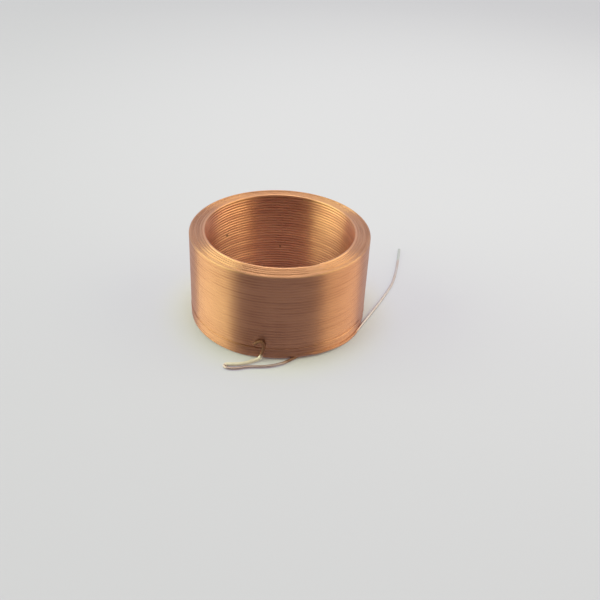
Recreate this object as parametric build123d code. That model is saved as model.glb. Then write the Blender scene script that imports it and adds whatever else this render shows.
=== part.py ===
from build123d import *
import os
from math import cos, radians, sin, sqrt, tan

# A self-supporting air core coil: one length of enamelled, self-bonding copper wire, wound in
# nested layers on a round mandrel that is then pulled out. Millimetres, +Z up the coil's axis.
# The origin is the centre of the bottom end, in the plane that the coil stands on.

# The wire and the winding
wire_d = 0.20            # over the enamel and the bond coat
bond_film = 0.005        # bond coat under a loose lead, between it and the surface
mandrel_d = 10.0         # the mandrel sets the bore
layers = 6
turns = 31               # in each full layer
settled_turns = 4        # last turns of the outermost layer: they have settled on the bottom end
groove_depth = 0.06      # valley between neighbouring turns, down to the bond coat that fills it
foot_land = 0.08         # flat under each bottom turn that touches the surface

# The start lead peels off the innermost turn at the bottom end, crosses the end turns in a
# channel and lies on the surface as a flat hairpin. Its free end hooks up on to the winding and is
# bonded there. Reaches are to the wire's centre, out from the outermost turns
start_angle = -45.0      # place on the innermost turn, in degrees from +X
start_clear = 0.03       # room between the lead and its channel, at each side and above
exit_reach = 0.27        # the strand from the channel to the hairpin's far corner
far_near_reach = 0.73
far_mid_reach = 1.28
far_end_reach = 1.91
near_end_reach = 1.55    # the strand from the hairpin's near corner to the hook
near_reach = 0.46
hook_foot_reach = 0.20
hook_reach = 0.17        # the hook as it rises and as it drops
hook_top_reach = 0.20
hook_end_reach = 0.03
start_route = (          # degrees on from start_angle, reach, height above rest in wire diameters
    (35.5, exit_reach, 0.0), (45.0, far_near_reach, 0.0), (58.5, far_mid_reach, 0.0),
    (68.1, far_end_reach, 0.0), (69.4, near_end_reach, 0.0), (56.0, near_reach, 0.0),
    (51.9, hook_foot_reach, 1.0), (50.3, hook_reach, 3.7), (50.3, hook_top_reach, 6.2),
    (53.6, hook_reach, 7.6), (58.0, hook_end_reach, 5.7))

# The finish lead is the end of the lowest turn of the outermost layer. It leaves the winding
# straight on, at a tangent, and lies on the surface
finish_angle = -26.0     # place on that turn, in degrees from +X
finish_near = 5.10       # first run, past the coil's side
finish_past = 3.10       # second run
finish_free = 4.20       # last run, to the cut end
finish_bends = (5.5, 11.5)         # degrees to the left after each of the first two runs

lead_sides = 11          # a lead's section is a fine polygon, which keeps a hair-thin wire light
bend_share = 0.45        # of the shorter straight run beside it, taken up by each bend
root_overlap = 0.1       # how far each lead reaches back into the turn that it grows out of

wire_r = wire_d / 2
layer_pitch = wire_d * sqrt(3) / 2    # each layer lies in the valleys of the one under it
height = (turns + 0.5) * wire_d       # every other layer is shifted by half a turn


def layer_r(layer):
    """Radius of a layer's wire centres, the innermost layer being 1."""
    return mandrel_d / 2 + wire_r + (layer - 1) * layer_pitch


def layer_bottom(layer):
    """Height at which a full layer starts: odd layers at the bottom end, even ones half a turn up."""
    return 0.0 if layer % 2 else wire_r


bore_r = mandrel_d / 2
outer_r = layer_r(layers) + wire_r
gap_r = layer_r(layers - 1) + wire_r  # the gap above the settled turns shows the layer under them
rest_z = bond_film + wire_r           # height of the centre of a lead that lies on the surface


def bottom_rings():
    """Profile points across the bottom end, outwards: the turns that touch the surface have flats."""
    points = []
    for layer in range(1, layers + 1):
        r = layer_r(layer)
        if layer % 2:
            points += [(r - foot_land / 2, 0), (r + foot_land / 2, 0)]
        elif layer < layers:
            points.append((r, layer_bottom(layer)))
        else:
            points += [(r - layer_pitch / 2, groove_depth), (r - foot_land / 2, 0), (r + foot_land / 2, 0)]
    return points


def top_rings():
    """Profile points across the top end, outwards: the even layers' turns stand proud."""
    return [(layer_r(n), layer_bottom(n) + turns * wire_d) for n in range(1, layers + 1)]


def wall_turns(bottom, first, last):
    """Profile points up the outer wall: the crest of each turn, with a valley between."""
    points = []
    for turn in range(first, last):
        crest_z = bottom + (turn + 0.5) * wire_d
        if turn > first:
            points.append((outer_r - groove_depth, crest_z - wire_r))
        points.append((outer_r, crest_z))
    return points


def wound_body():
    """The winding: turn ridges outside, end rings above and below, and the mandrel's bore."""
    settled_top = settled_turns * wire_d
    rest_bottom = layer_bottom(layers) + settled_top
    profile = [(bore_r, layer_bottom(1) + wire_r)] + bottom_rings()
    profile += wall_turns(0, 0, settled_turns)
    profile += [(outer_r - groove_depth, settled_top), (gap_r, (settled_top + rest_bottom) / 2),
                (outer_r - groove_depth, rest_bottom)]
    profile += wall_turns(layer_bottom(layers), settled_turns, turns)
    profile += reversed(top_rings())
    profile.append((bore_r, layer_bottom(1) + turns * wire_d - wire_r))
    return revolve(make_face(Plane.XZ * Polyline(*profile, close=True)), Axis.Z)


def bent_path(points):
    """Straight runs joined by tangent arcs, each as large as the shorter run beside it allows."""
    radii = []
    for before, corner, after in zip(points, points[1:], points[2:]):
        run_in, run_out = corner - before, after - corner
        half_turn = radians(run_in.get_angle(run_out)) / 2
        radii.append(bend_share * min(run_in.length, run_out.length) / tan(half_turn))
    return FilletPolyline(*points, radius=radii)


def wire_along(path):
    """A lead: the wire's section swept along its path."""
    return sweep(Plane(path @ 0, z_dir=path % 0) * RegularPolygon(wire_r, lead_sides), path=path)


def polar(angle, radius, z):
    return Vector(radius * cos(radians(angle)), radius * sin(radians(angle)), z)


def start_points():
    """Corners of the start lead, from the turn that it leaves to its bonded end."""
    points = [polar(start_angle, layer_r(1) + 2 * start_clear, rest_z)]
    for angle, reach, rise in start_route:
        points.append(polar(start_angle - angle, outer_r + reach, rest_z + rise * wire_d))
    return points


def finish_points():
    """Corners of the finish lead, from the turn that it ends to its cut end."""
    heading = finish_angle + 90
    points = [polar(finish_angle, layer_r(layers), rest_z)]
    for length, bend in zip((finish_near, finish_past, finish_free), finish_bends + (0.0,)):
        points.append(points[-1] + polar(heading, length, 0))
        heading += bend
    return points


def lead_along(points):
    """A lead with its root inside the turn that it grows out of."""
    root = points[0] + (points[0] - points[1]).normalized() * root_overlap
    return wire_along(bent_path([root] + points[1:]))


def start_channel(points):
    """The slot that the start lead takes across the turns of the bottom end."""
    slot_line = Line(Vector(points[0].X, points[0].Y, 0), Vector(points[1].X, points[1].Y, 0))
    return extrude(trace(slot_line, wire_d + 2 * start_clear), rest_z + wire_r + start_clear)


start = start_points()
coil = wound_body() - start_channel(start)
coil += lead_along(start)
coil += lead_along(finish_points())

os.makedirs("parts", exist_ok=True)
export_step(coil, "parts/coil.step")
print("turns", layers * turns)
print("outer diameter", round(2 * outer_r, 3), "height", round(height, 3))
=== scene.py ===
import math

import bpy
from mathutils import Matrix, Vector


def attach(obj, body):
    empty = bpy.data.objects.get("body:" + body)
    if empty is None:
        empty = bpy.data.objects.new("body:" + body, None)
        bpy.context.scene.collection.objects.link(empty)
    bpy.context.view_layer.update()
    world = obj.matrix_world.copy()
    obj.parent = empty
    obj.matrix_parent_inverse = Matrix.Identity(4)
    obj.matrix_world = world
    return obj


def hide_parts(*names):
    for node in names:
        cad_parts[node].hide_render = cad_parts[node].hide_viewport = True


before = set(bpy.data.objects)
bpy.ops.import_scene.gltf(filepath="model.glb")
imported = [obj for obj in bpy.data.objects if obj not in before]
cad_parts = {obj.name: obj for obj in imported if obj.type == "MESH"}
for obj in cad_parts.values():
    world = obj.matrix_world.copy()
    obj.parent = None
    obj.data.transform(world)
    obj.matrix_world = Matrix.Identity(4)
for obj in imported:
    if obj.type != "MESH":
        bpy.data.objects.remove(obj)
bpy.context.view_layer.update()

# The winding: one enamelled copper wire in six nested layers, laid up and down a mandrel that is
# then pulled out. Each turn lies flat and steps over to the next in a short jog; at the end of a
# layer the jog climbs on to it. The bond coat, melted by heat, holds the turns together.
mm = 0.001
wire_d = 0.20 * mm
bore_r = 5.0 * mm
layers = 6
layer_pitch = wire_d * math.sqrt(3) / 2    # each layer lies in the valleys of the one under it
full_turns = 31
settled_turns = 4             # the outermost layer's last turns have settled on the bottom end
settled_proud = 0.02 * mm     # the uppermost of them stands out by this much
jog_share = 0.05              # of a turn
jog_end, outer_jog_end = -55.0, -8.0     # degrees from +X; the wire runs anticlockwise
start_angle = -45.0           # degrees from +X, where the start lead leaves the innermost turn
lead_lane_r = 5.16 * mm       # the start lead crosses the end turns this far from the axis
arch_span, raised_span = 13.0, 38.0      # degrees to each side of that lead, for the turns it lifts
even_lift = 0.55 * wire_d     # the even layers' lowest turns start half a wire up
top_crests = [6.40 * mm, 6.37 * mm, 6.34 * mm, 6.32 * mm, 6.26 * mm, 6.30 * mm]   # of each layer
ease_out = 0.12 * mm          # the last turn eases off the winding by this much before it leaves
wander = 0.006 * mm           # how far the turns stray from their places
layer_seed = 40.0             # from one layer to the next, so that each strays in its own way


class Value:
    """A node's output with arithmetic: an expression on values adds its Math nodes."""

    def __init__(self, maker, socket):
        self.maker, self.socket = maker, socket

    def maths(self, operation, *terms):
        return self.maker.node("ShaderNodeMath", {"operation": operation}, dict(enumerate(terms)))

    def __add__(self, other):
        return self.maths("ADD", self, other)

    def __radd__(self, other):
        return self.maths("ADD", other, self)

    def __sub__(self, other):
        return self.maths("SUBTRACT", self, other)

    def __rsub__(self, other):
        return self.maths("SUBTRACT", other, self)

    def __mul__(self, other):
        return self.maths("MULTIPLY", self, other)

    def __rmul__(self, other):
        return self.maths("MULTIPLY", other, self)

    def __truediv__(self, other):
        return self.maths("DIVIDE", self, other)


class NodeMaker:
    """Adds nodes to one tree: the type, then the settings, then the values or links of its sockets."""

    def __init__(self, tree):
        self.tree = tree

    def node(self, kind, settings=None, sockets=None, out=0):
        made = self.tree.nodes.new(kind)
        for name, setting in (settings or {}).items():
            setattr(made, name, setting)
        for key, value in (sockets or {}).items():
            if isinstance(value, Value):
                self.tree.links.new(value.socket, made.inputs[key])
            else:
                made.inputs[key].default_value = value
        return Value(self, made.outputs[out])

    def smooth_step(self, value, low, high):
        return self.node("ShaderNodeMapRange", {"interpolation_type": "SMOOTHSTEP"},
                         {"Value": value, "From Min": low, "From Max": high})

    def blend(self, factor, first, second):
        return self.node("ShaderNodeMix", {"data_type": "RGBA"}, {0: factor, 6: first, 7: second}, out=2)

    def stored(self, path, name, value):
        """The path with a value kept at each of its points, under a name that the materials read."""
        return self.node("GeometryNodeStoreNamedAttribute", {"data_type": "FLOAT", "domain": "POINT"},
                         {"Geometry": path, "Name": name, "Value": value})

    def read(self, name):
        return self.node("ShaderNodeAttribute", {"attribute_name": name}, out="Fac")


def new_tree(name, others, numbers):
    """A geometry tree with named inputs; gives the tree, its maker and the inputs. The others are
    (name, socket type) pairs and come first, because the modifier gives its own shape to the first."""
    inputs = others + [(label, "NodeSocketFloat") for label in numbers]
    tree = bpy.data.node_groups.new(name, "GeometryNodeTree")
    for label, kind in inputs:
        tree.interface.new_socket(label, in_out="INPUT", socket_type=kind)
    tree.interface.new_socket("Wire", in_out="OUTPUT", socket_type="NodeSocketGeometry")
    maker = NodeMaker(tree)
    given = tree.nodes.new("NodeGroupInput")
    return tree, maker, {label: Value(maker, given.outputs[label]) for label, kind in inputs}


def strand_along(maker, path, given, swell=1.0):
    """Sweeps the wire's section along a path and ends the tree."""
    section = maker.node("GeometryNodeCurvePrimitiveCircle", {"mode": "RADIUS"},
                         {"Resolution": given["Sides"], "Radius": given["Wire diameter"] / 2})
    upright = maker.node("GeometryNodeSetCurveNormal", {"mode": "Z_UP"}, {"Curve": path})
    swept = maker.node("GeometryNodeCurveToMesh", None,
                       {"Curve": upright, "Profile Curve": section, "Scale": swell, "Fill Caps": True})
    swept = maker.node("GeometryNodeSetShadeSmooth", None, {"Geometry": swept})
    real = maker.node("GeometryNodeRealizeInstances", None, {"Geometry": swept})
    finished = maker.node("GeometryNodeSetMaterial", None,
                          {"Geometry": real, "Material": given["Material"]})
    end = maker.tree.nodes.new("NodeGroupOutput")
    maker.tree.links.new(finished.socket, end.inputs["Wire"])


def wound_tree():
    """The path of one layer: flat turns, a jog at the end of each, and a climb at the layer's end."""
    tree, maker, given = new_tree("wound layer", [
        ("Points per turn", "NodeSocketInt"), ("Sides", "NodeSocketInt"),
        ("Material", "NodeSocketMaterial")], [
        "Layer radius", "First height", "Rise per turn", "Turns", "Last turn", "Climb", "Climb rise",
        "Start angle", "Start phase", "Jog share", "Wander", "Seed", "Lift angle", "Lift span", "Lift",
        "Settled turns", "Settling", "Raised span", "Proud", "Ease", "Wire diameter"])
    almost_a_turn = 0.9999                    # keeps the layer's end within its last turn
    ease_from, ease_to = -0.20, -0.02         # turns from the end
    other_stretch = 400                       # of the noise, for the second stray
    many_turns = 100 * math.tau               # keeps an angle positive
    lowest_under = 1.3 * wire_d               # only a layer's lowest turn is under this height

    count = maker.node("ShaderNodeMath", {"operation": "ROUND"},
                       {0: given["Turns"] * given["Points per turn"]}) + 1
    line = maker.node("GeometryNodeCurvePrimitiveLine")
    line = maker.node("GeometryNodeResampleCurve", None, {"Curve": line, "Count": count})
    travelled = maker.node("GeometryNodeSplineParameter") * given["Turns"]
    along = travelled.maths("MAXIMUM", travelled + given["Start phase"], 0)
    along = along.maths("MINIMUM", along, given["Last turn"] + almost_a_turn)
    whole = along.maths("FLOOR", along)
    jog = maker.smooth_step(along - whole, 1 - given["Jog share"], 1.0)
    last = whole.maths("GREATER_THAN", whole, given["Last turn"] - 0.5)
    climbs = last * whole.maths("GREATER_THAN", given["Climb"], 0)
    height = given["First height"] + given["Rise per turn"] * (whole + jog * (1 - climbs))
    height = height + given["Climb rise"] * jog * climbs
    radius = given["Layer radius"] + given["Climb"] * jog * last
    radius = radius + given["Ease"] * maker.smooth_step(travelled - given["Turns"], ease_from, ease_to)
    angle = given["Start angle"] + travelled * math.tau

    # the last turns have settled together and leave a gap above them
    before_gap = given["Last turn"] + 1 - given["Settled turns"]
    settled = maker.smooth_step(along - before_gap, -1 * given["Jog share"], 0.0)
    height = height - given["Settling"] * settled
    uppermost = settled * (1 - maker.smooth_step(along - before_gap, 1 - given["Jog share"], 1.0))
    radius = radius + given["Proud"] * uppermost

    # the turns between the first and the last stray a little, up and down and in and out
    wander_z = maker.node("ShaderNodeTexNoise", {"noise_dimensions": "1D"},
                          {"W": travelled + given["Seed"], "Scale": 3.7, "Detail": 1.0})
    wander_r = maker.node("ShaderNodeTexNoise", {"noise_dimensions": "1D"},
                          {"W": travelled + given["Seed"] + other_stretch, "Scale": 2.3, "Detail": 1.0})
    loose = 2 * given["Wander"] * whole.maths("GREATER_THAN", whole, 0.5) * (1 - last)
    height = height + (wander_z - 0.5) * loose
    radius = radius + (wander_r - 0.5) * loose

    # the lowest turn arches over the start lead, which crosses under it and raises the settled turns
    from_lift = angle.maths("PINGPONG", (angle - given["Lift angle"]) + many_turns, math.pi)
    near = 1 - maker.smooth_step(from_lift, given["Lift span"] / 2, given["Lift span"])
    lowest = height.maths("LESS_THAN", height, lowest_under)
    raised = 1 - maker.smooth_step(from_lift, given["Raised span"] / 2, given["Raised span"])
    height = height + near * lowest * given["Lift"] + raised * settled * given["Settling"]

    place = maker.node("ShaderNodeCombineXYZ", None, {
        "X": radius * angle.maths("COSINE", angle), "Y": radius * angle.maths("SINE", angle), "Z": height})
    path = maker.node("GeometryNodeSetPosition", None, {"Geometry": line, "Position": place})
    path = maker.stored(path, "turn", travelled + given["Seed"])
    strand_along(maker, path, given)
    return tree


def made_by(tree, name, values, base=None):
    """Runs a tree with its named values and gives the result as a plain mesh object at the origin."""
    piece = base or bpy.data.objects.new(name, bpy.data.meshes.new(name))
    bpy.context.scene.collection.objects.link(piece)
    modifier = piece.modifiers.new("wound", "NODES")
    modifier.node_group = tree
    sockets = {item.name: item.identifier for item in tree.interface.items_tree if item.in_out == "INPUT"}
    for label, value in values.items():
        modifier[sockets[label]] = value
    graph = bpy.context.evaluated_depsgraph_get()
    mesh = bpy.data.meshes.new_from_object(piece.evaluated_get(graph), depsgraph=graph)
    mesh.name = name
    bpy.data.objects.remove(piece)
    plain = bpy.data.objects.new(name, mesh)
    bpy.context.scene.collection.objects.link(plain)
    return plain


def copper_finish(name, bright, deep, roughness, brushed, coat, seed,
                  loose=None, tip_and_sheen=None, paint_shade_and_sheen=False, pit=None):
    """Enamelled copper wire: the metal's orange through amber enamel, streaky from turn to turn.
    loose is the paler colour of the wire away from the winding, and the other colour that of a stretch near
    the tip: on the finish lead a grey tinning; on the start lead a thicker stretch with tinning, painted
    pale and matt, a painted sheen. On the start lead the wire beyond that stretch, its hook, is painted a
    dark matt brown, painted shade for the dark that it reflects, and so is its root by the winding, a
    painted shadow of the coil. pit is the place of a small burn in the coat, among dark flecks."""
    material = bpy.data.materials.new(name)
    material.use_nodes = True
    material.node_tree.nodes.clear()
    maker = NodeMaker(material.node_tree)
    place = maker.node("ShaderNodeTexCoord", out="Object")
    strand = maker.node("ShaderNodeTexNoise", {"noise_dimensions": "1D"},
                        {"W": maker.read("turn") + seed, "Scale": 4.3, "Detail": 3.0, "Roughness": 0.6})
    cloud = maker.node("ShaderNodeTexNoise", None, {"Vector": place, "Scale": 330.0, "Detail": 3.0})
    tone = maker.smooth_step(0.55 * strand + 0.45 * cloud, 0.36, 0.64)
    metal = maker.blend(tone, (*deep, 1), (*bright, 1))
    metallic, coat_weight, rough = 1.0, coat, roughness + 0.10 * (1 - tone)

    # the end rings at the top are painted a brighter copper: a painted highlight, for the light that the top
    # of the coil catches from above
    top_highlight_copper = (0.67, 0.335, 0.19, 1)
    height = maker.node("ShaderNodeSeparateXYZ", None, {0: place}, out="Z")
    top_painted_highlight = maker.smooth_step(height, 6.10 * mm, 6.24 * mm)
    metal = maker.blend(top_painted_highlight * (0.7 + 0.3 * tone), metal, top_highlight_copper)

    if pit:
        burn_brown = (0.10, 0.045, 0.03, 1)
        pit_core, pit_rim = 0.06 * mm, 0.16 * mm
        from_pit = maker.node("ShaderNodeVectorMath", {"operation": "DISTANCE"},
                              {0: place, 1: pit}, out="Value")
        fleck = maker.node("ShaderNodeTexNoise", None, {"Vector": place, "Scale": 2600.0, "Detail": 1.0})
        mark = maker.smooth_step(fleck, 0.76, 0.80)
        mark = mark.maths("MAXIMUM", mark, 1 - maker.smooth_step(from_pit, pit_core, pit_rim))
        metal = maker.blend(0.6 * mark, metal, burn_brown)
        rough = rough + 0.25 * mark

    if loose:
        flat = maker.node("ShaderNodeVectorMath", {"operation": "MULTIPLY"},
                          {0: place, 1: (1, 1, 0)}, out="Vector")
        from_axis = maker.node("ShaderNodeVectorMath", {"operation": "LENGTH"}, {0: flat}, out="Value")
        away = maker.smooth_step(from_axis, 6.10 * mm, 6.24 * mm)
        metal = maker.blend(away * (0.8 + 0.2 * tone), metal, (*loose, 1))
        # the stretch near the tip takes its own colour: grey tinning on the finish lead, and on the start
        # lead a pale colour that is a painted sheen
        tinning_and_sheen = maker.read("tinning_and_sheen")
        metal = maker.blend(tinning_and_sheen, metal, (*tip_and_sheen, 1))
        if paint_shade_and_sheen:
            # on the start lead the hook and the root are painted dark brown, rougher and without enamel:
            # painted shade for the dark that the hook reflects, and a painted shadow of the coil on the
            # root; the pale stretch is made matt, as part of its painted sheen
            painted_shade_brown = (0.32, 0.16, 0.105, 1)
            painted_shade = maker.read("painted_shade")
            root = (1 - maker.smooth_step(from_axis, 6.35 * mm, 6.75 * mm)) * (1 - tinning_and_sheen)
            painted_shade = painted_shade.maths("MAXIMUM", painted_shade, 0.85 * root)
            metal = maker.blend(painted_shade, metal, painted_shade_brown)
            metallic, coat_weight, rough = 1 - tinning_and_sheen, coat * (1 - painted_shade), rough + 0.4 * painted_shade

    shader = maker.node("ShaderNodeBsdfPrincipled", None, {
        "Base Color": metal, "Metallic": metallic, "Roughness": rough,
        "Anisotropic": brushed, "Anisotropic Rotation": 0.25,
        "Coat Weight": coat_weight, "Coat Roughness": 0.15, "Coat IOR": 1.5})
    surface = maker.tree.nodes.new("ShaderNodeOutputMaterial")
    maker.tree.links.new(shader.socket, surface.inputs["Surface"])
    return material


winding = wound_tree()
wall_colours = (0.58, 0.265, 0.16), (0.49, 0.205, 0.125)     # bright, then deep
# the bore's pair is a lighter copper than the wall's, though it is the same wire: painted light, for the
# bore's brighter look
bore_colours_painted_light = (0.76, 0.355, 0.215), (0.60, 0.25, 0.16)
wall_finish = copper_finish("wound copper wire", *wall_colours, roughness=0.45, brushed=0.98, coat=0.30,
                            seed=3.0)
bore_finish = copper_finish("wire of the bore", *bore_colours_painted_light, roughness=0.36, brushed=0.8, coat=0.30,
                            seed=11.0, pit=(-3.90 * mm, 3.13 * mm, 3.9 * mm))
for layer in range(1, layers + 1):
    radius = bore_r + wire_d / 2 + (layer - 1) * layer_pitch
    odd, innermost, outermost = layer % 2 == 1, layer == 1, layer == layers
    low, top_turn = (0.5 if odd else 1) * wire_d, top_crests[layer - 1] - wire_d / 2
    first, last = (low, top_turn) if odd else (top_turn, low)
    rise = (last - first) / (full_turns - 1)
    climb, climb_rise = 0.0, 0.0
    if not outermost:
        next_first = top_crests[layer] - wire_d / 2 if odd else wire_d / 2
        climb, climb_rise = layer_pitch, next_first - last
    begin, phase = jog_end, 0.0
    if innermost:
        begin, phase = start_angle, (start_angle - jog_end) / 360
    if outermost:
        phase = (jog_end - outer_jog_end) / 360
    travelled = full_turns - phase - (jog_share if outermost else 0.0)
    shown = innermost or outermost
    crossing = math.acos(min(1.0, lead_lane_r / radius))
    piece = made_by(winding, f"winding_layer_{layer}", {
        "Layer radius": radius,
        "First height": first, "Rise per turn": rise, "Turns": travelled, "Last turn": float(full_turns - 1),
        "Climb": climb, "Climb rise": climb_rise,
        "Start angle": math.radians(begin), "Start phase": phase, "Jog share": jog_share,
        "Wander": wander, "Seed": layer_seed * layer,
        "Lift angle": math.radians(start_angle) - crossing, "Lift span": math.radians(arch_span),
        "Lift": 0.0 if innermost else (wire_d if odd else even_lift),
        "Settled turns": float(settled_turns), "Settling": wire_d / 2 if outermost else 0.0,
        "Raised span": math.radians(raised_span), "Proud": settled_proud if outermost else 0.0,
        "Ease": ease_out if outermost else 0.0, "Wire diameter": wire_d,
        "Points per turn": 144 if shown else 96, "Sides": 12 if shown else 8,
        "Material": bore_finish if innermost else wall_finish})
    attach(piece, "root")
    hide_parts("coil")

# The bond coat: the wire's outer coat, melted when the coil is heated on its mandrel. It fills the
# valleys between the turns and between the end rings, and leaves only the crests of the wire proud.
coat_steps = 144
wall_fill, bore_fill, end_fill = 0.012 * mm, 0.054 * mm, 0.030 * mm   # below the crests
meniscus = 0.006 * mm
under_z, bore_under_z = 0.15 * mm, 0.3 * mm      # the coat starts this high at the wall and the bore
outer_r = bore_r + wire_d + (layers - 1) * layer_pitch
open_pitch = (top_crests[0] - wire_d) / (full_turns - 1)     # of the turns on the bore's wall
settled_top = settled_turns * wire_d
gap_r = outer_r - 0.08 * mm
gap_points = (                   # radius, and height above the settled turns
    (gap_r + 0.02 * mm, -0.015 * mm), (gap_r, 0.02 * mm), (gap_r, 0.06 * mm),
    (outer_r - 0.02 * mm, 0.10 * mm))


def coat_section():
    """(radius, height) points round the coat's section, outwards along the bottom first."""
    points = [(bore_r + bore_fill, under_z), (outer_r - wall_fill, under_z)]

    def up_a_wall(crest_r, first_z, turns, outward, pitch=wire_d):
        for step in range(4 * (turns - 1) + 1):
            dip = meniscus * (1 - math.cos(math.tau * step / 4)) / 2
            points.append((crest_r - outward * dip, first_z + step * pitch / 4))

    up_a_wall(outer_r - wall_fill, 1.5 * wire_d, settled_turns - 1, 1)
    points += [(radius, settled_top + above) for radius, above in gap_points]
    up_a_wall(outer_r - wall_fill, settled_top + wire_d, full_turns - settled_turns, 1)
    ring_r = [bore_r + wire_d / 2 + n * layer_pitch for n in range(layers)]
    for ring in range(layers - 1, 0, -1):
        for share in (0.0, 0.25, 0.5, 0.75):
            crest = top_crests[ring] + (top_crests[ring - 1] - top_crests[ring]) * share
            fall = end_fill * math.sin(math.pi * share)
            points.append((ring_r[ring] - layer_pitch * share, crest - wall_fill - fall))
    points.append((ring_r[0], top_crests[0] - 0.02 * mm))
    start = len(points)
    up_a_wall(bore_r + bore_fill, bore_under_z, full_turns - 1, -1, open_pitch)
    points[start:] = reversed(points[start:])
    return points


section = coat_section()
verts, faces = [], []
for step in range(coat_steps):
    turned = math.tau * step / coat_steps
    verts += [(r * math.cos(turned), r * math.sin(turned), z) for r, z in section]
for step in range(coat_steps):
    here, there = step * len(section), (step + 1) % coat_steps * len(section)
    for k in range(len(section)):
        after = (k + 1) % len(section)
        faces.append((here + k, there + k, there + after, here + after))
coat_mesh = bpy.data.meshes.new("bond_coat")
coat_mesh.from_pydata(verts, [], faces)
coat_mesh.polygons.foreach_set("use_smooth", [True] * len(faces))
coat_finish = copper_finish("melted bond coat", *wall_colours, roughness=0.45, brushed=0.98, coat=0.30,
                            seed=31.0)
coat_mesh.materials.append(coat_finish)
bond_coat = bpy.data.objects.new("bond_coat", coat_mesh)
bpy.context.scene.collection.objects.link(bond_coat)
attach(bond_coat, "root")
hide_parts("coil")

# The two leads: the wire's own free ends. The start lead comes out from under the end turns, lies
# as a flat hairpin and hooks back up on to the winding; the finish lead runs straight on from it.
rest_z = 0.105 * mm           # height of the wire's centre where it lies on the surface
tin_rest_z = rest_z + 0.025 * mm
tin_swell = 0.25              # the tin makes the wire thicker by this share
lead_step = 0.06 * mm         # from one ring of the wire's section to the next
streak_length = 5 * mm        # of wire, that is streaked as one turn of the winding is


def lead_tree():
    """A lead along its route: a stretch near its tip is marked for its tinning and painted sheen, and
    thickened by the tip swell; the wire from there to the tip is marked for painted shade.
    """
    tree, maker, given = new_tree("loose lead", [
        ("Route", "NodeSocketGeometry"), ("Sides", "NodeSocketInt"), ("Material", "NodeSocketMaterial")], [
        "Wire diameter", "Step", "Tinned from", "Tinned to", "Tip swell"])
    path = maker.node("GeometryNodeResampleCurve", {"mode": "LENGTH"},
                      {"Curve": given["Route"], "Length": given["Step"]})
    length = maker.node("GeometryNodeSplineLength")
    run = maker.node("GeometryNodeSplineParameter", out="Length")
    to_tip = length - run
    tinning_and_sheen = maker.smooth_step(given["Tinned from"] - to_tip, 0.0, 0.25 * mm)
    # from the end of that stretch to the tip: painted shade
    painted_shade = maker.smooth_step(given["Tinned to"] - to_tip, 0.0, 0.35 * mm)
    tinning_and_sheen = tinning_and_sheen * (1 - painted_shade)
    swell = 1 + given["Tip swell"] * tinning_and_sheen
    path = maker.stored(path, "turn", run / streak_length)
    path = maker.stored(path, "tinning_and_sheen", tinning_and_sheen)
    path = maker.stored(path, "painted_shade", painted_shade)
    strand_along(maker, path, given, swell)
    return tree


def route_object(name, points):
    curve = bpy.data.curves.new(name, "CURVE")
    curve.dimensions = "3D"
    spline = curve.splines.new("NURBS")
    spline.points.add(len(points) - 1)
    for point, place in zip(spline.points, points):
        point.co = (*place, 1)
    spline.order_u = 3
    spline.use_endpoint_u = True
    spline.resolution_u = 12
    return bpy.data.objects.new(name, curve)


def polar(degrees, radius, z):
    angle = math.radians(degrees)
    return Vector((radius * math.cos(angle), radius * math.sin(angle), z))


out_strand = (                   # x and y in millimetres, from the coil to the hairpin's far end
    (0.96, -6.30), (0.45, -6.64), (-0.35, -6.95), (-1.50, -7.03), (-2.15, -7.27), (-2.76, -7.34))
back_strand = (                  # the strand with tinning, painted pale for its sheen, back to the coil
    (-3.06, -7.17), (-3.01, -6.92), (-2.46, -6.91), (-1.80, -6.78), (-1.32, -6.49))
hook = (                         # degrees from +X, then radius and height in millimetres
    (-97.6, 6.26, 0.15), (-96.0, 6.21, 0.70), (-95.3, 6.22, 1.18), (-96.6, 6.24, 1.52),
    (-99.4, 6.20, 1.42), (-101.2, 6.12, 1.14))
start_route = [polar(start_angle + 3, bore_r + wire_d / 2, rest_z), polar(start_angle, lead_lane_r, rest_z)]
start_route += [Vector((x * mm, y * mm, rest_z)) for x, y in out_strand]
start_route += [Vector((x * mm, y * mm, tin_rest_z)) for x, y in back_strand]
start_route += [polar(angle, radius * mm, z * mm) for angle, radius, z in hook]

finish_angle = -26.0             # degrees from +X, where the finish lead leaves the last turn
finish_runs = ((5.12, 5.1), (3.13, 13.7), (4.18, 0.0))   # millimetres, then degrees to the left
last_turn_r = outer_r - wire_d / 2 + ease_out
heading = finish_angle + 90
finish_route = [polar(degrees, last_turn_r, wire_d / 2) for degrees in (finish_angle - 6, finish_angle)]
for length, bend in finish_runs:
    ahead = finish_route[-1] + polar(heading, length * mm, 0)
    finish_route.append(Vector((ahead.x, ahead.y, rest_z)))
    heading += bend

lead_orange, lead_brown = (0.54, 0.255, 0.155), (0.44, 0.195, 0.12)
loose = lead_tree()
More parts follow.
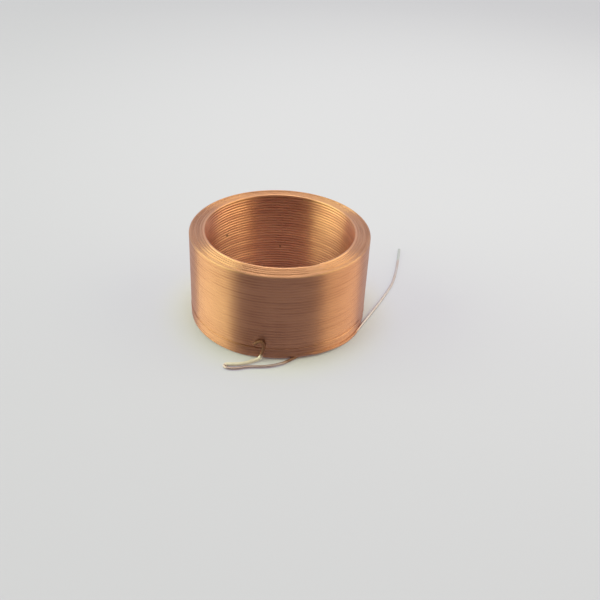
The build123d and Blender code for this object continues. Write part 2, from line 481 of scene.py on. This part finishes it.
# Each lead's colours: the wire away from the winding, then the stretch near the tip: the finish lead's grey
# tinning, and the start lead's pale strand, a painted sheen. The start lead's hook and root are painted dark
# as well: painted shade.
for name, route, colours, tinning_and_sheen, paint_shade_and_sheen in (
        ("start_lead", start_route, ((0.50, 0.38, 0.40), (0.76, 0.64, 0.60)), (4.5, 1.9), True),
        ("finish_lead", finish_route, ((0.57, 0.49, 0.50), (0.54, 0.54, 0.53)), (1.9, -1.0), False)):
    wire_colour, tip_and_sheen_colour = colours
    finish = copper_finish(name + " wire", lead_orange, lead_brown, roughness=0.42, brushed=0.0, coat=0.4,
                           seed=21.0, loose=wire_colour, tip_and_sheen=tip_and_sheen_colour, paint_shade_and_sheen=paint_shade_and_sheen)
    piece = made_by(loose, name, {
        "Wire diameter": wire_d, "Step": lead_step, "Tinned from": tinning_and_sheen[0] * mm,
        "Tinned to": tinning_and_sheen[1] * mm, "Tip swell": tin_swell if paint_shade_and_sheen else 0.0, "Sides": 12,
        "Material": finish}, base=route_object(name + "_route", route))
    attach(piece, "root")
    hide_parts("coil")

# The surface that the coil was photographed on: plain pale card. Towards the camera and in the copper's
# reflections it partly glows, and the rest of it takes the light and the shadow. The glow's colour is a
# painted pool of light, lightest round a spot behind the coil and to its right; seen straight on, the glow
# fades out near the coil, where only the card's own light and shadow show.
floor_mesh = bpy.data.meshes.new("floor")
reach = 1.6
corners = [(-reach, -reach, 0), (reach, -reach, 0), (reach, reach, 0), (-reach, reach, 0)]
floor_mesh.from_pydata(corners, [], [(0, 1, 2, 3)])
floor = bpy.data.objects.new("floor", floor_mesh)
bpy.context.scene.collection.objects.link(floor)
card = bpy.data.materials.new("pale card")
card.use_nodes = True
card.node_tree.nodes.clear()
maker = NodeMaker(card.node_tree)
pale, horizon = (0.64, 0.61, 0.645, 1), (0.64, 0.64, 0.64, 1)
# the spot is the centre of a painted pool of light on the card: lightest there, darker further off
light_pool, light_pool_pale, light_pool_dark = (18 * mm, 34 * mm, 0), (0.71, 0.70, 0.77, 1), (0.54, 0.53, 0.60, 1)
glow_share = 0.68
seen = maker.node("ShaderNodeLightPath", out="Is Camera Ray")
mirrored = maker.node("ShaderNodeLightPath", out="Is Glossy Ray")
matt = maker.node("ShaderNodeBsdfPrincipled", None, {"Base Color": pale, "Roughness": 0.9})
place = maker.node("ShaderNodeTexCoord", out="Object")
from_axis = maker.node("ShaderNodeVectorMath", {"operation": "LENGTH"}, {0: place}, out="Value")
from_light_pool = maker.node("ShaderNodeVectorMath", {"operation": "DISTANCE"}, {0: place, 1: light_pool}, out="Value")
far_off = maker.smooth_step(from_axis, 75 * mm, 150 * mm)
shade = maker.blend(maker.smooth_step(from_light_pool, 12 * mm, 78 * mm), light_pool_pale, light_pool_dark)
shade = maker.blend(far_off, shade, horizon)
glow = maker.node("ShaderNodeEmission", None, {"Color": shade, "Strength": 1.0})
# straight on, the glow fades out near the coil; in the copper's reflections it glows in the bore too, at
# half strength there: painted light, dimmed as painted shade for the bore's walls
outside = seen * maker.smooth_step(from_axis, 5.0 * mm, 9.0 * mm)
reflected = mirrored * (0.5 + 0.5 * maker.smooth_step(from_axis, 4.5 * mm, 6.0 * mm))
glowing = (glow_share + (1 - glow_share) * far_off) * outside.maths("MAXIMUM", outside, reflected)
both = maker.node("ShaderNodeMixShader", None, {0: glowing, 1: matt, 2: glow})
surface = maker.tree.nodes.new("ShaderNodeOutputMaterial")
maker.tree.links.new(both.socket, surface.inputs["Surface"])
floor_mesh.materials.append(card)


# The light: a bright panel on the left, a dimmer and warmer one on the right and one overhead, in a
# room that is dark on the camera's side and bright behind the coil, so that the copper shows bands.
def panel(name, azimuth, elevation, distance, size, radiance, tint):
    """A panel facing the coil. Azimuth 0 is the camera's side, 90 the right."""
    lamp = bpy.data.lights.new(name, "AREA")
    lamp.shape, lamp.size, lamp.size_y = "RECTANGLE", *size
    lamp.energy = radiance * math.pi * size[0] * size[1]
    lamp.color = tint
    at = bpy.data.objects.new(name, lamp)
    a, e = math.radians(azimuth), math.radians(elevation)
    out = Vector((math.sin(a) * math.cos(e), -math.cos(a) * math.cos(e), math.sin(e)))
    at.location = out * distance
    at.rotation_mode = "QUATERNION"
    at.rotation_quaternion = out.to_track_quat("Z", "Y")
    bpy.context.scene.collection.objects.link(at)


panel("left panel", -83, 20, 0.24, (0.25, 0.24), 4.05, (0.79, 1.0, 0.58))
panel("right panel", 86, 26, 0.24, (0.25, 0.24), 2.1, (0.97, 1.0, 0.54))
panel("top panel", 180, 86, 0.26, (0.21, 0.21), 2.65, (0.97, 1.0, 0.77))

dark_side, bright_side = (0.012, 0.012, 0.018, 1), (0.83, 0.86, 0.90, 1)
room = bpy.data.worlds.new("room")
bpy.context.scene.world = room
room.use_nodes = True
room.node_tree.nodes.clear()
maker = NodeMaker(room.node_tree)
seen = maker.node("ShaderNodeLightPath", out="Is Camera Ray")
toward = maker.node("ShaderNodeTexCoord", out="Generated")
depth = maker.node("ShaderNodeSeparateXYZ", None, {0: toward}, out="Y")
shade = maker.blend(maker.smooth_step(depth, -0.55, 0.45), dark_side, bright_side)
shade = maker.blend(seen, shade, horizon)
sky = maker.node("ShaderNodeBackground", None, {"Color": shade, "Strength": 1.0})
surface = room.node_tree.nodes.new("ShaderNodeOutputWorld")
room.node_tree.links.new(sky.socket, surface.inputs["Surface"])

# The camera, close up and looking down at the coil, as in the photograph. Its place and its two
# directions were fitted to the ellipses of the coil's rims.
camera_place = Vector((1.562, -46.192, 31.495)) * mm
right = Vector((0.99868, 0.02843, 0.04269))
up = Vector((-0.05129, 0.55367, 0.83114))
lens = bpy.data.cameras.new("camera")
lens.lens, lens.sensor_width = 47.02, 36.0
lens.clip_start, lens.clip_end = 0.001, 10.0
camera = bpy.data.objects.new("camera", lens)
turned = Matrix((right, up, right.cross(up))).transposed().to_4x4()
camera.matrix_world = Matrix.Translation(camera_place) @ turned
bpy.context.scene.collection.objects.link(camera)
bpy.context.scene.camera = camera
bpy.context.scene.view_settings.view_transform = "Standard"
